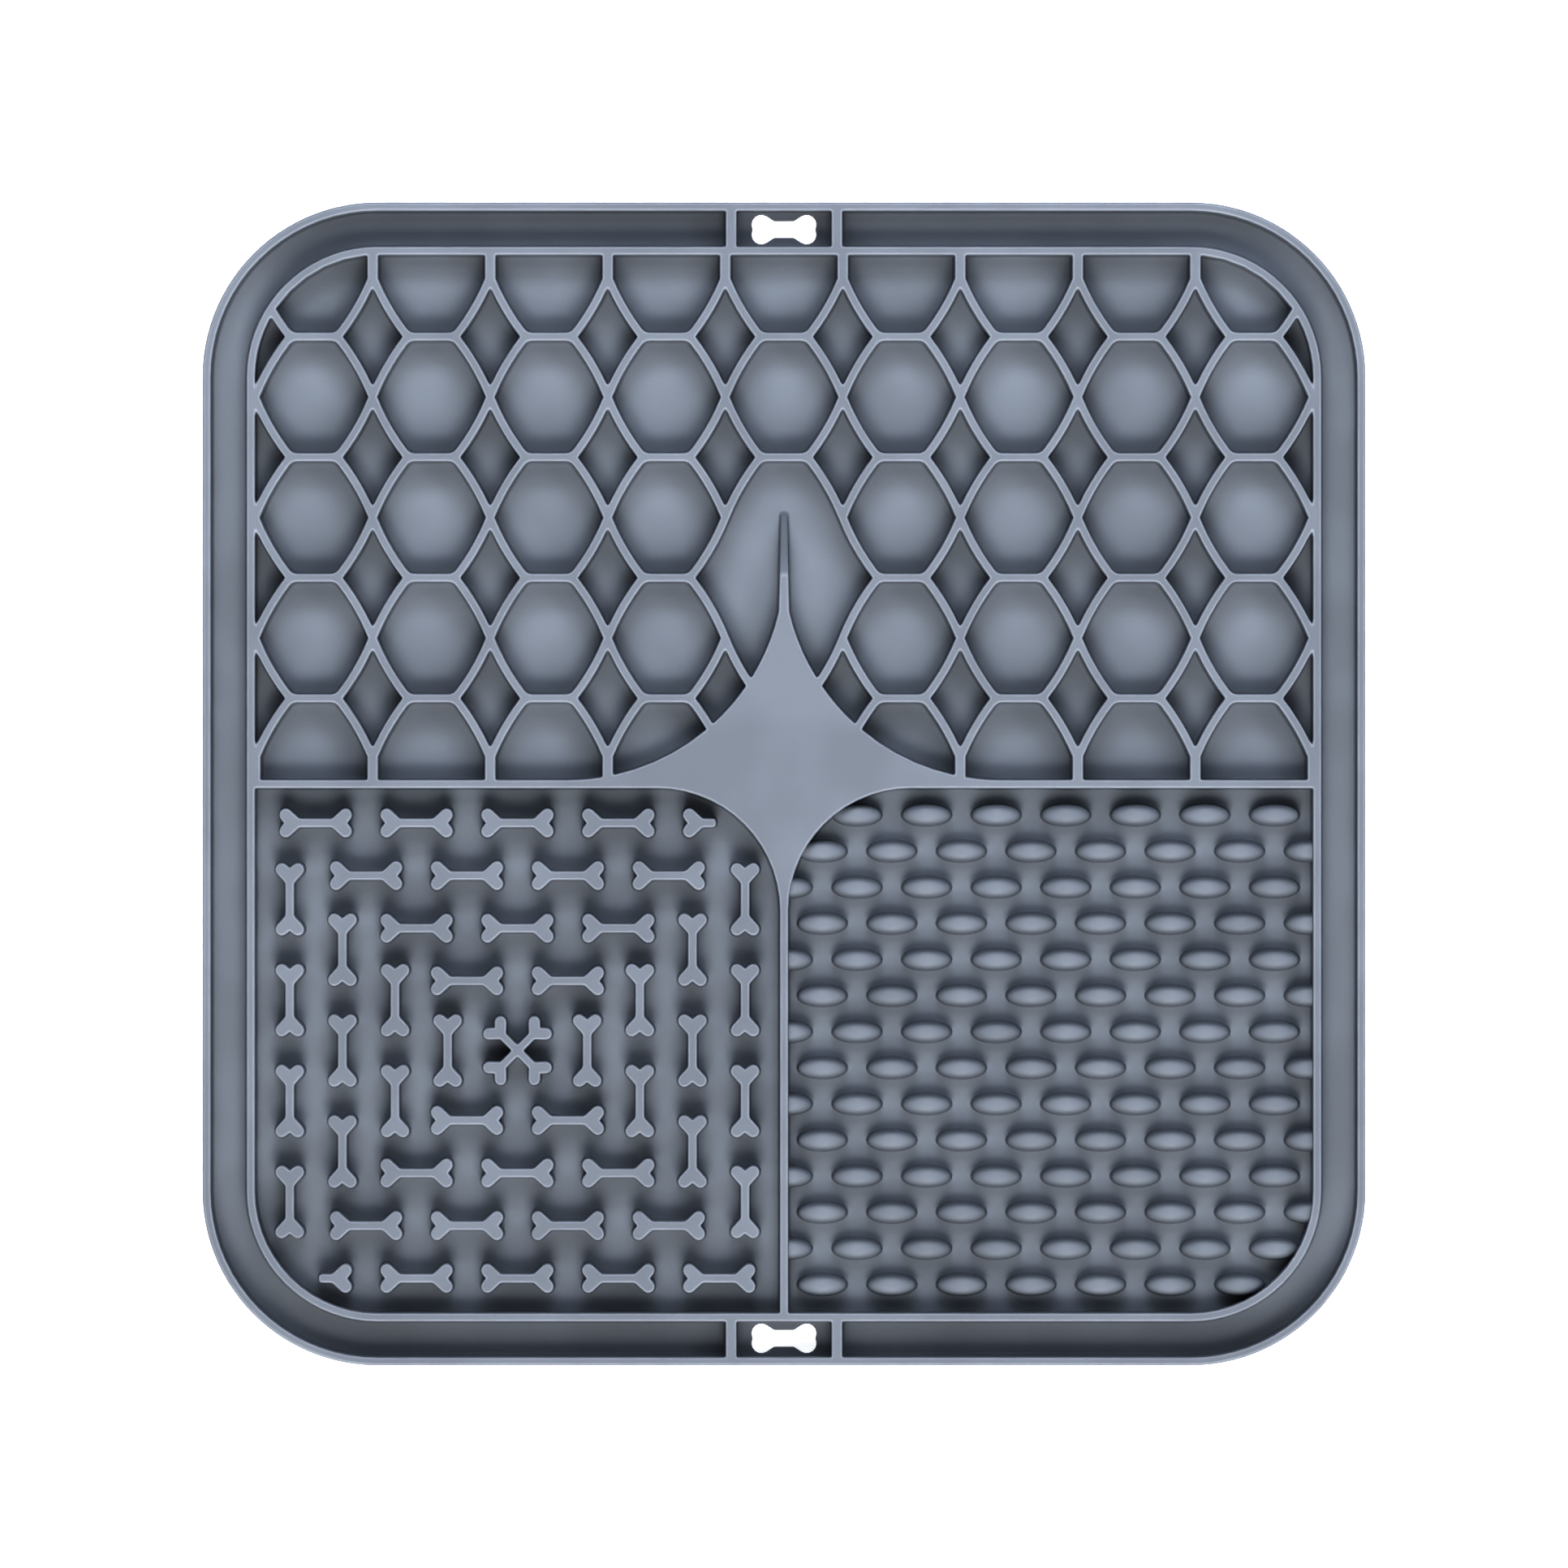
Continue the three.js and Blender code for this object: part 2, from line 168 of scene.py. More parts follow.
@dataclass
class Outline:
    """A closed plan outline of straight and round sides, anticlockwise round its region.

    joints holds the place where each side ends and the next one starts. A joint that is a
    corner is rounded by the easing of the rounder of its two sides, but by no more than
    most_cut of a side. A joint where the two sides run on smoothly, with a turn whose sine is
    under smooth_turn, isn't rounded.
    """

    sides: Sequence[Side]
    joints: Array
    corner_steps: int = 3
    least_rounding: float = 0.1
    most_cut: float = 0.45
    smooth_turn: float = 0.05
    newton_steps: int = 14
    newton_reach: float = 2.0
    rounding: Array = field(init=False)
    smooth: Array = field(init=False)

    def __post_init__(self) -> None:
        """Gathers the sides into arrays and finds which joints are smooth."""
        self._arrays = (
            np.array([(s.x, s.y) for s in self.sides], float),
            np.array([s.inward for s in self.sides]),
            np.array([s.radius for s in self.sides], float),
            np.array([s.region.value for s in self.sides], float),
        )
        easing = np.array([s.easing for s in self.sides])
        self.rounding = np.maximum(easing, np.roll(easing, -1))
        self.joints = np.array(self.joints, float)
        clearance, this = self._beside(self.joints, 0)
        _, following = self._beside(self.joints, 1)
        little_turn = np.abs(cross(this, following)) < self.smooth_turn
        self.smooth = little_turn & ((this * following).sum(1) > 0)
        on_side = self.joints - this * clearance[:, None]
        self.joints = np.where(self.smooth[:, None], on_side, self.joints)

    def mirrored(self) -> "Outline":
        """The outline's mirror image, left to right."""
        joints = np.roll(self.joints[::-1], -1, axis=0) * (-1, 1)
        made = Outline([side.mirrored() for side in reversed(self.sides)], joints)
        made.rounding = np.roll(self.rounding[::-1], -1)
        return made

    def _beside(self, points: Array, ahead: int) -> tuple[Array, Array]:
        """How each joint lies beside a side.

        Args:
            points: The joints.
            ahead: 0 for the side that ends at each joint, 1 for the one that starts there.

        Returns:
            The clearance from the side and the direction into the region there.
        """
        at, normal, radius, sign = (np.roll(a, -ahead, axis=0) for a in self._arrays)
        away = points - at
        distance = np.hypot(*away.T)
        clearance = np.where(radius == 0, (away * normal).sum(1), sign * (radius - distance))
        outward = away / np.maximum(distance, TINY)[:, None]
        return clearance, np.where((radius == 0)[:, None], normal, -sign[:, None] * outward)

    def joints_at(self, inset: float) -> Array:
        """The joints of the outline that lies the same distance into the region all round.

        A smooth joint moves straight in. A corner is where both of its sides are the inset away,
        found by Newton's method on the pair of clearances.
        """
        moved = self.joints + self._beside(self.joints, 0)[1] * inset
        points = moved
        for _ in range(self.newton_steps):
            near, a = self._beside(points, 0)
            far, b = self._beside(points, 1)
            scale = np.where(self.smooth, 1.0, cross(a, b))
            step = ((near - inset)[:, None] * b - (far - inset)[:, None] * a)[:, ::-1] * (1, -1)
            points = points - np.clip(step / scale[:, None], -self.newton_reach, self.newton_reach)
        return np.where(self.smooth[:, None], moved, points)

    def ring(self, inset: float) -> Array:
        """The outline's points at an inset, the same number of them at every inset.

        A side runs evenly between its joints, less what the rounding of its corners cuts off:
        the radius times the tangent of half the turn. A corner's points lie on the parabola that
        touches both sides there.
        """
        joints = self.joints_at(inset)
        a, b = (self._beside(joints, ahead)[1] for ahead in (0, 1))
        turn = np.arctan2(cross(a, b), (a * b).sum(1))
        radius = np.maximum(self.rounding - np.sign(turn) * inset, self.least_rounding)
        cut = np.where(self.smooth, 0.0, radius * np.tan(np.abs(turn) / 2))
        ends = zip(np.roll(joints, 1, axis=0), joints, np.roll(cut, 1), cut)
        runs = [self._run(side, *end) for side, end in zip(self.sides, ends)]
        pieces = []
        for i, run in enumerate(runs):
            pieces.append(run[1:] if self.smooth[i - 1] else run)
            if not self.smooth[i]:
                before, after = run[-1], runs[(i + 1) % len(runs)][0]
                t = np.linspace(0, 1, self.corner_steps + 1)[1:-1, None]
                pieces.append((1 - t) ** 2 * before + 2 * t * (1 - t) * joints[i] + t**2 * after)
        return np.concatenate(pieces)

    def _run(self, side: Side, start: Array, end: Array, cut_first: float, cut_last: float) -> Array:
        """The points of one side, between what is cut off at its start and at its end.

        A round side turns evenly from one joint's angle to the other's, and its distance from
        the centre goes evenly from the one to the other. A turn of just under 0 counts as back
        by that little, and not as almost the whole way round.
        """
        spokes = np.stack([start, end]) - (side.x, side.y)
        first, last = np.arctan2(spokes[:, 1], spokes[:, 0])
        near, far = np.hypot(spokes[:, 0], spokes[:, 1])
        way, little = side.region.value, 0.1
        swept = way * ((way * (last - first) + little) % WHOLE_TURN - little)
        length = max(abs(swept) * near if side.radius else math.dist(start, end), TINY)
        low, high = (min(cut / length, self.most_cut) for cut in (cut_first, cut_last))
        share = np.linspace(low, 1 - high, side.steps + 1)[:, None]
        if side.radius == 0:
            return start + share * (end - start)
        return (side.x, side.y) + (near + share * (far - near)) * heading(first + share[:, 0] * swept)


def joined(joints: Sequence, rounds: dict[int, Side], eased: dict[int, float] | None = None) -> Outline:
    """The outline through joints, straight from each to the next but for its round sides.

    Args:
        joints: The places where its sides meet, anticlockwise round the region.
        rounds: The round sides, each by the number of the joint in which it ends.
        eased: The rounding of joints that have one of their own.
    """
    at = np.array(joints, float)
    along = at - np.roll(at, 1, axis=0)
    facing = np.arctan2(along[:, 1], along[:, 0]) + BACK
    straight = [Side(*place, facing=angle) for place, angle in zip(at, facing)]
    outline = Outline([rounds.get(i, side) for i, side in enumerate(straight)], at)
    for i, radius in (eased or {}).items():
        outline.rounding[i] = radius
    return outline


@dataclass(frozen=True)
class Search:
    """How finely a hollow is looked for, and how small a hollow or a side is left out."""

    grid: int = 41
    rays: int = 4320
    least_room: float = 1.0
    shortest_side: float = 1.3


def enclosed(sides: Sequence[Side], low: Array, high: Array, search: Search = Search()) -> Outline | None:
    """The hollow that several sides shut in, whichever of them really meet.

    Rays go out from the point that is furthest from every side, and the side that each ray meets
    first belongs to the outline. Where the first side changes there is a joint.

    Args:
        sides: Every side that may bound the hollow.
        low: The least x and y that the hollow can have.
        high: The greatest x and y.
        search: How finely it is looked for.

    Returns:
        The outline, or None if there is no such hollow.
    """
    columns, rows = (np.linspace(low[axis], high[axis], search.grid) for axis in (0, 1))
    grid = np.stack(np.meshgrid(columns, rows), axis=-1).reshape(-1, 2)
    room = np.min([side.clearance(grid) for side in sides], axis=0)
    if room.max() < search.least_room:
        return None
    middle = grid[room.argmax()]
    rays = heading(np.linspace(0, WHOLE_TURN, search.rays, endpoint=False))
    reach = np.stack([side.reach(middle, rays) for side in sides])
    first = reach.argmin(axis=0)
    edge = middle + rays * reach.min(axis=0)[:, None]
    gap = np.hypot(*(edge - np.roll(edge, 1, axis=0)).T)
    starts = np.flatnonzero(first != np.roll(first, 1))
    first, edge, gap = (np.roll(a, -starts[0], axis=0) for a in (first, edge, gap))
    starts -= starts[0]
    starts = starts[np.add.reduceat(gap, starts) > search.shortest_side]
    return Outline([sides[i] for i in first[starts]], edge[np.roll(starts, -1) - 1])


@dataclass(frozen=True)
class Section:
    """The section that an outline is carried down: top edge, wall and foot, in millimetres."""

    top: float = 9.0
    floor: float = 2.0
    edge: float = 0.36
    foot: float = 0.7
    draft: float = 0.1
    flat: float = 0.1
    edge_steps: int = 3
    foot_steps: int = 3

    def _edge(self) -> Array:
        """Rows of (distance out from the wall, fall) along the quarter circle of an edge."""
        up = np.linspace(0, np.pi / 2, self.edge_steps + 1)
        return self.edge * np.stack([np.sin(up) - 1, 1 - np.cos(up)], axis=1)

    def levels(self) -> Array:
        """Rows of (distance out from the wall's top, height), from the top sheet to the floor.

        The edge and the foot are quarter circles, and a short flat beside each keeps the sheets
        level.
        """
        down = np.linspace(0, np.pi / 2, self.foot_steps + 1)
        edge = self._edge() * (1, -1) + (0, self.top)
        foot = self.foot * np.stack([1 - np.cos(down), 1 - np.sin(down)], axis=1)
        foot = foot + (self.draft, self.floor)
        flat = (self.flat, 0)
        return np.concatenate([edge[:1] - flat, edge, foot, foot[-1:] + flat])


@dataclass(frozen=True)
class ThroughSection(Section):
    """The section of a wall that ends in a rounded edge at its bottom too, as in a hole."""

    def levels(self) -> Array:
        """Rows of (distance out from the wall, height): a rounded edge, a wall, a rounded edge."""
        upper = self._edge() * (1, -1) + (0, self.top)
        lower = self._edge()[::-1] + (0, self.floor)
        flat = (self.flat, 0)
        return np.concatenate([upper[:1] - flat, upper, lower, lower[-1:] - flat])


def carried(outline: Outline, section: Section, stands: Stands) -> Array:
    """An outline carried down a section.

    Args:
        outline: The plan outline.
        section: Its section.
        stands: Whether the outline goes round air or round silicone.

    Returns:
        Points, one ring a row from the top down, in millimetres.
    """
    return np.stack([
        np.c_[ring, np.full(len(ring), height)]
        for out, height in section.levels()
        for ring in [outline.ring(stands.value * out)]
    ])


def fitted(outline: Outline, section: Section) -> Section:
    """The section with its foot made narrow enough for a small hollow.

    The foot fits when every stretch of the lowest ring still runs the same way as at the top.
    """
    top = outline.ring(0.0)
    along = np.roll(top, -1, axis=0) - top
    for share in FOOT_SHARES:
        slim = replace(section, foot=section.foot * share)
        low = outline.ring(slim.levels()[-1, 0])
        if ((np.roll(low, -1, axis=0) - low) * along).sum(axis=1).min() > 0:
            return slim
    raise ValueError(f"no foot fits the hollow round {outline.joints.mean(0).round(1)}")


def placed(name: str, data: bpy.types.ID) -> bpy.types.Object:
    """A new object of the scene, at the origin."""
    made = bpy.data.objects.new(name, data)
    bpy.context.scene.collection.objects.link(made)
    return made


class Moulding:
    """Gathers rings and sheets into one surface.

    Each point also gets a form value, from which the material paints a highlight on rounded edges and shade
    in the fillets at the feet: up to 1 on a rounded edge, down to -1 in the fillet at a foot and 0 where
    the surface runs straight on.
    """

    FULL_FORM: float = math.radians(30)

    def __init__(self) -> None:
        """Starts with nothing."""
        self._points: list[Array] = []
        self._form: list[Array] = []
        self._faces: list[Array] = []
        self._count = 0

    def _formed(self, rings: Array) -> Array:
        """The form value of each ring: by how much the section turns down there, over FULL_FORM."""
        step = np.diff(rings, axis=0)
        out = np.hypot(step[..., 0], step[..., 1]).mean(axis=1)
        turn = np.diff(np.arctan2(-step[..., 2].mean(axis=1), out))
        return np.clip(np.concatenate([[0.0], turn, [0.0]]) / self.FULL_FORM, -1.0, 1.0)

    def add(self, rings: Array, stands: Stands, edges: float = 1.0) -> Array:
        """Joins rings into a band whose faces look into the air.

        Args:
            rings: Points, ring by ring from the top down, each ring anticlockwise.
            stands: Whether the rings go round air or round silicone.
            edges: How far its turns count as edges, which get a painted highlight and a smoother finish,
                from 0 to 1.

        Returns:
            The number of each point, in the same layout.
        """
        levels, around = rings.shape[:2]
        ids = self._count + np.arange(levels * around).reshape(levels, around)
        self._points.append(rings.reshape(-1, 3))
        form = self._formed(rings)
        self._form.append(np.repeat(np.where(form > 0, edges * form, form), around))
        self._count += levels * around
        ahead = np.roll(ids, -1, axis=1)
        quads = np.stack([ids[:-1], ahead[:-1], ahead[1:], ids[1:]], axis=-1).reshape(-1, 4)
        self._faces.append(quads if stands is Stands.HOLLOW else quads[:, ::-1])
        return ids

    def carry(self, outline: Outline, section: Section, stands: Stands = Stands.HOLLOW) -> Array:
        """Adds an outline carried down a section, and gives the numbers of its points."""
        return self.add(carried(outline, section, stands), stands)

    def pit(self, rings: Array) -> Array:
        """Adds a hollow with a plain floor, and gives the numbers of the points round its top."""
        ids = self.add(rings, Stands.HOLLOW)
        self.sheet(ids[-1])
        return ids[0]

    def sheet(self, outer: Array, holes: Sequence[Array] = (), up: bool = True) -> None:
        """Fills a level outline with triangles and leaves its holes open.

        Args:
            outer: The numbers of the points round it.
            holes: The same for each hole.
            up: True if the sheet looks up.
        """
        points = np.concatenate(self._points)
        loops = [outer, *holes]
        ids = np.concatenate(loops)
        ends = np.cumsum([len(loop) for loop in loops])
        places = [list(range(end - len(loop), end)) for loop, end in zip(loops, ends)]
        plan = [Vector(p) for p in points[ids, :2].tolist()]
        made = delaunay_2d_cdt(plan, [], places, 0, TINY, True)
        if len(made[0]) != len(plan):
            raise ValueError(f"outlines of a sheet cross near {points[ids].mean(0).round(1)}")
        back = np.array([source[0] for source in made[3]])
        kept = np.array([face for face, inside in zip(made[2], made[5]) if list(inside) == [0]])
        faces = ids[back[kept]]
        a, b, c = (points[faces[:, i], :2] for i in range(3))
        wrong = (cross(b - a, c - a) > 0) != up
        faces[wrong] = faces[wrong][:, ::-1]
        self._faces.append(faces)

    def fan(self, ring: Array, up: bool = True) -> None:
        """Closes a ring that bulges all round with triangles from its first point."""
        faces = np.stack([np.full(len(ring) - 2, ring[0]), ring[1:-1], ring[2:]], axis=1)
        self._faces.append(faces if up else faces[:, ::-1])

    def piece(self, name: str, material: bpy.types.Material) -> bpy.types.Object:
        """The surface as an object at the origin, in metres and shaded smooth."""
        mesh = bpy.data.meshes.new(name)
        faces = [face for group in self._faces for face in group.tolist()]
        mesh.from_pydata((np.concatenate(self._points) * MM).tolist(), [], faces)
        mesh.polygons.foreach_set("use_smooth", np.ones(len(mesh.polygons), bool))
        form = mesh.attributes.new("form", "FLOAT", "POINT")
        form.data.foreach_set("value", np.concatenate(self._form))
        mesh.materials.append(material)
        mesh.update()
        return placed(name, mesh)


@dataclass(frozen=True)
class Sizes:
    """The main sizes of the mat, in millimetres.

    star_radius is that of the star's two arcs at the front.
    """

    half: float = 100.0
    corner: float = 30.0
    rim: float = 1.45
    gutter: float = 6.1
    wall: float = 1.5
    tab_half: float = 10.05
    cross_rib: float = 1.9
    star_radius: float = 21.0

    @property
    def rim_inside(self) -> float:
        """From the middle to the rim's inner face."""
        return self.half - self.rim

    @property
    def frame_outside(self) -> float:
        """From the middle to the frame's outer face."""
        return self.rim_inside - self.gutter

    @property
    def field(self) -> float:
        """From the middle to the frame's inner face."""
        return self.frame_outside - self.wall

    @property
    def field_corner(self) -> float:
        """The radius of the frame's inner face at the corners."""
        return self.corner - (self.half - self.field)


def rounded_square(reach: float, radius: float, steps: int) -> Outline:
    """A square with round corners, from the middle of the mat out to a reach."""
    c = reach - radius
    joints, rounds = [], {}
    for i, (sx, sy) in enumerate(((1, 1), (-1, 1), (-1, -1), (1, -1))):
        ends = [(sx * reach, sy * c), (sx * c, sy * reach)]
        joints += ends[::-1] if i % 2 else ends
        rounds[2 * i + 1] = Side(sx * c, sy * c, radius=radius, steps=steps)
    return joined(joints, rounds)


def front_hollow(s: Sizes, steps: int = 14) -> Outline:
    """The hollow at the front left: the frame's walls, its corner and the star's arc."""
    near, inner = -s.wall / 2, s.field - s.field_corner
    arc = near - s.star_radius
    joints = [(arc, near), (-s.field, near), (-s.field, -inner), (-inner, -s.field), (near, -s.field),
              (near, arc)]
    corner = Side(-inner, -inner, radius=s.field_corner, steps=steps, span=(LEFT, FRONT))
    star = Side(arc, arc, radius=s.star_radius, steps=steps, span=(RIGHT, BACK))
    return joined(joints, {0: star, 3: corner})


@dataclass(frozen=True)
class Bone:
    """A bone's plan: two heads of two lobes, with a notch between them, and a narrow shaft."""

    length: float = 12.6
    head: float = 5.1
    shaft: float = 1.6
    lobe: float = 1.15
    notch: float = 0.8
    flare: float = 3.5
    neck_easing: float = 0.8
    notch_easing: float = 0.12
    stub_easing: float = 0.7
    lobe_steps: int = 6

    @property
    def lobe_at(self) -> Array:
        """The centre of the back lobe of a head along +X."""
        return np.array((self.length / 2 - self.lobe, self.head / 2 - self.lobe))

    def _head(self) -> Array:
        """The seven places where a head along +X turns, from the front of its neck to the back.

        They are neck, lobe, lobe, notch, lobe, lobe, neck. A line from the notch or the neck
        touches the lobe's circle where the angle at the centre has the radius over the distance
        as its cosine.
        """
        notch = np.array((self.length / 2 - self.notch, 0.0))
        neck = np.array((self.length / 2 - self.flare, self.shaft / 2))
        touching = []
        for point, side in ((notch, -1), (neck, 1)):
            away = point - self.lobe_at
            aside = math.acos(min(1.0, self.lobe / math.hypot(*away)))
            touching.append(self.lobe_at + self.lobe * heading(math.atan2(away[1], away[0]) - side * aside))
        back = np.array([*touching, neck])
        return np.concatenate([back[::-1] * (1, -1), [notch], back])

    def outline(self, turns: Sequence[float] = (RIGHT, LEFT), stub: float | None = None) -> Outline:
        """The outline of heads that share one middle, each turned by its own angle.

        Args:
            turns: The heads' angles, anticlockwise. Two opposite heads make a bone and four
                make a crossed pair. Shafts that meet at less than half a turn have a corner.
            stub: For one head along +X alone, the x at which its shaft is cut off.
        """
        head, half = self._head(), self.shaft / 2
        joints, rounds, eased = [], {}, {}
        for turn, after in zip(turns, [*turns[1:], turns[0] + WHOLE_TURN]):
            first = len(joints)
            joints += list(turned(head[1:], turn))
            for ends_in, up in ((1, -1), (4, 1)):
                centre = turned(self.lobe_at * (1, up), turn)
                rounds[first + ends_in] = Side(*centre, radius=self.lobe, steps=self.lobe_steps)
            eased |= {first + 2: self.notch_easing, first + 5: self.neck_easing}
            if stub is not None:
                eased |= {len(joints): self.stub_easing, len(joints) + 1: self.stub_easing}
                joints += [(stub, half), (stub, -half)]
            elif after - turn < math.pi - TINY:
                joints.append(half / math.sin((after - turn) / 2) * heading((turn + after) / 2))
            eased[len(joints)] = self.neck_easing
            joints.append(turned(head[0], after))
        return joined(joints, rounds, eased)


@dataclass
class BoneField:
    """Square rings of bones round a crossed pair."""

    sizes: Sizes
    bone: Bone = Bone()
    crossed: Bone = Bone(
        length=13.2, head=5.0, shaft=1.5, lobe=1.06, notch=0.98, flare=3.15, neck_easing=0.5
    )
    rings: int = 4
    first_ring: float = 12.0
    ring_step: float = 9.05
    pitch: float = 17.35
    short_length: float = 5.8
    bone_section: Section = Section(foot=0.25, draft=0.06, flat=0.06)
    wall_section: Section = Section(foot=0.3)

    def bones(self) -> list[Array]:
        """The rings of every bone, in its place."""
        outlines = (
            self.bone.outline(),
            self.bone.outline((RIGHT,), stub=self.bone.length / 2 - self.short_length),
            self.crossed.outline([(i + 0.5) * BACK for i in range(4)]),
        )
        whole, short, crossed = (carried(o, self.bone_section, Stands.RAISED) for o in outlines)
        middle = (-self.sizes.wall / 2 - self.sizes.field) / 2
        made = [turned(crossed, 0, middle, middle)]
        for ring in range(self.rings):
            reach = self.first_ring + ring * self.ring_step
            for along in (np.arange(ring + 1) - ring / 2) * self.pitch:
                made.append(turned(whole, BACK, middle - reach, middle + along))
                made.append(turned(whole, BACK, middle + reach, middle + along))
            for i, along in enumerate((np.arange(ring + 2) - (ring + 1) / 2) * self.pitch):
                bone = short if ring == self.rings - 1 and i == ring + 1 else whole
                made.append(turned(bone, LEFT, middle + along, middle + reach))
                made.append(turned(bone, RIGHT, middle - along, middle - reach))
        return made

    def build(self, mat: Moulding) -> Array:
        """Adds the field to the mat.

        Returns:
            The numbers of the points where its wall meets the mat's top.
        """
        wall = mat.carry(front_hollow(self.sizes), self.wall_section)
        bones = [mat.add(rings, Stands.RAISED) for rings in self.bones()]
        for bone in bones:
            mat.sheet(bone[0])
        mat.sheet(wall[-1], [bone[-1] for bone in bones])
        return wall[0]


@dataclass
class PegField:
    """Staggered rows of low oval pegs with round crowns, well below the walls.

    crown_angles places the rings of a crown: each lies as far out as the sine of its angle, in
    degrees. The wall needs spare room beside a peg that stands free of it, a peg that shows less
    than least_showing is left out, and sunk is how far the two lowest rings of a peg that the
    wall cuts off go down into the floor.
    """

    sizes: Sizes
    length: float = 8.4
    width: float = 3.6
    height: float = 5.4
    dome: float = 2.5
    flatness: float = 0.45
    crown_angles: tuple[float, ...] = (1, 6, 17, 32, 48, 64, 78, 90)
    rows: int = 14
    first_y: float = -5.35
    first_x: float = 0.6
    pitch_x: float = 11.98
    pitch_y: float = 6.218
    # The share of the painted edge highlight and of the edge polish on a peg's crown.
    edge_highlight_share: float = 0.2
    around: int = 24
    spare: float = 0.05
    least_showing: float = 0.8
    sunk: tuple[float, float] = (0.03, 0.6)
    peg_section: Section = Section(foot=0.14, draft=0.16, flat=0.08, foot_steps=2)
    wall_section: Section = Section(foot=0.3)

    def peg(self) -> Array:
        """The rings of one peg round the origin, from the middle of its crown down.

        Along its length the crown is half an ellipse: at a share t of the way out it has lost
        1 - root(1 - t squared) of the dome. Across, a ring's half width is the peg's times t to
        the power of the flatness, which is under 1, so the top is flatter that way. Below the
        crown the wall goes down with a little draft and out in a quarter circle at the foot.
        """
        section = self.peg_section
        t = np.sin(np.radians(self.crown_angles))
        out, low = section.levels()[-section.foot_steps - 2:].T
        crown = section.floor + self.height - self.dome * (1 - np.sqrt(np.maximum(1 - t**2, 0.0)))
        half_x = np.concatenate([self.length / 2 * t, self.length / 2 + out])
        half_y = np.concatenate([self.width / 2 * t**self.flatness, self.width / 2 + out])
        angle = np.linspace(0, WHOLE_TURN, self.around, endpoint=False)
        plan = np.stack([half_x, half_y], axis=-1)[:, None] * heading(angle)
        height = np.broadcast_to(np.concatenate([crown, low])[:, None], plan.shape[:2])
        return np.concatenate([plan, height[..., None]], axis=-1)

    def places(self) -> Array:
        """The middle of every peg that reaches into the field."""
        rows = []
        for row in range(self.rows):
            start = self.first_x + (row % 2) * self.pitch_x / 2
            xs = np.arange(start, self.sizes.field + self.length / 2, self.pitch_x)
            rows.append(np.stack([xs, np.full(len(xs), self.first_y - row * self.pitch_y)], axis=1))
        return np.concatenate(rows)

    def build(self, mat: Moulding) -> Array:
        """Adds the field to the mat.

        A peg that would meet a wall is a closed form of its own. Its foot goes on down inside
        the floor, and whatever lies beyond the wall is pressed back to the wall's middle.

        Returns:
            The numbers of the points where its wall meets the mat's top.
        """
        outline = front_hollow(self.sizes).mirrored()
        wall = mat.carry(outline, self.wall_section)
        room = self.wall_section.draft + self.wall_section.foot + self.wall_section.flat + self.spare
        feet = []
        for place in self.places():
            rings = self.peg() + (*place, 0)
            clear = np.min([side.clearance(rings[-1, :, :2]) for side in outline.sides], axis=0)
            if clear.max() <= self.least_showing:
                continue
            cut_off = clear.min() <= room
            if cut_off:
                rings[-2:, :, 2] -= np.array(self.sunk)[:, None]
                rings = self._pressed(rings, outline.sides)
            ids = mat.add(rings, Stands.RAISED, self.edge_highlight_share)
            mat.fan(ids[0])
            if cut_off:
                mat.fan(ids[-1], up=False)
            else:
                feet.append(ids[-1])
        mat.sheet(wall[-1], feet)
        return wall[0]

    def _pressed(self, rings: Array, sides: Sequence[Side]) -> Array:
        """Rings with every point that is beyond a wall's middle brought back to it."""
        points = rings.reshape(-1, 3).copy()
        for side in sides:
            beyond = -side.clearance(points[:, :2]) - self.sizes.wall / 2
            far = beyond > 0
            away = points[far, :2] - (side.x, side.y)
            inward = -away / np.hypot(*away.T)[:, None] if side.radius else side.inward
            points[far, :2] += beyond[far, None] * inward
        return points.reshape(rings.shape)


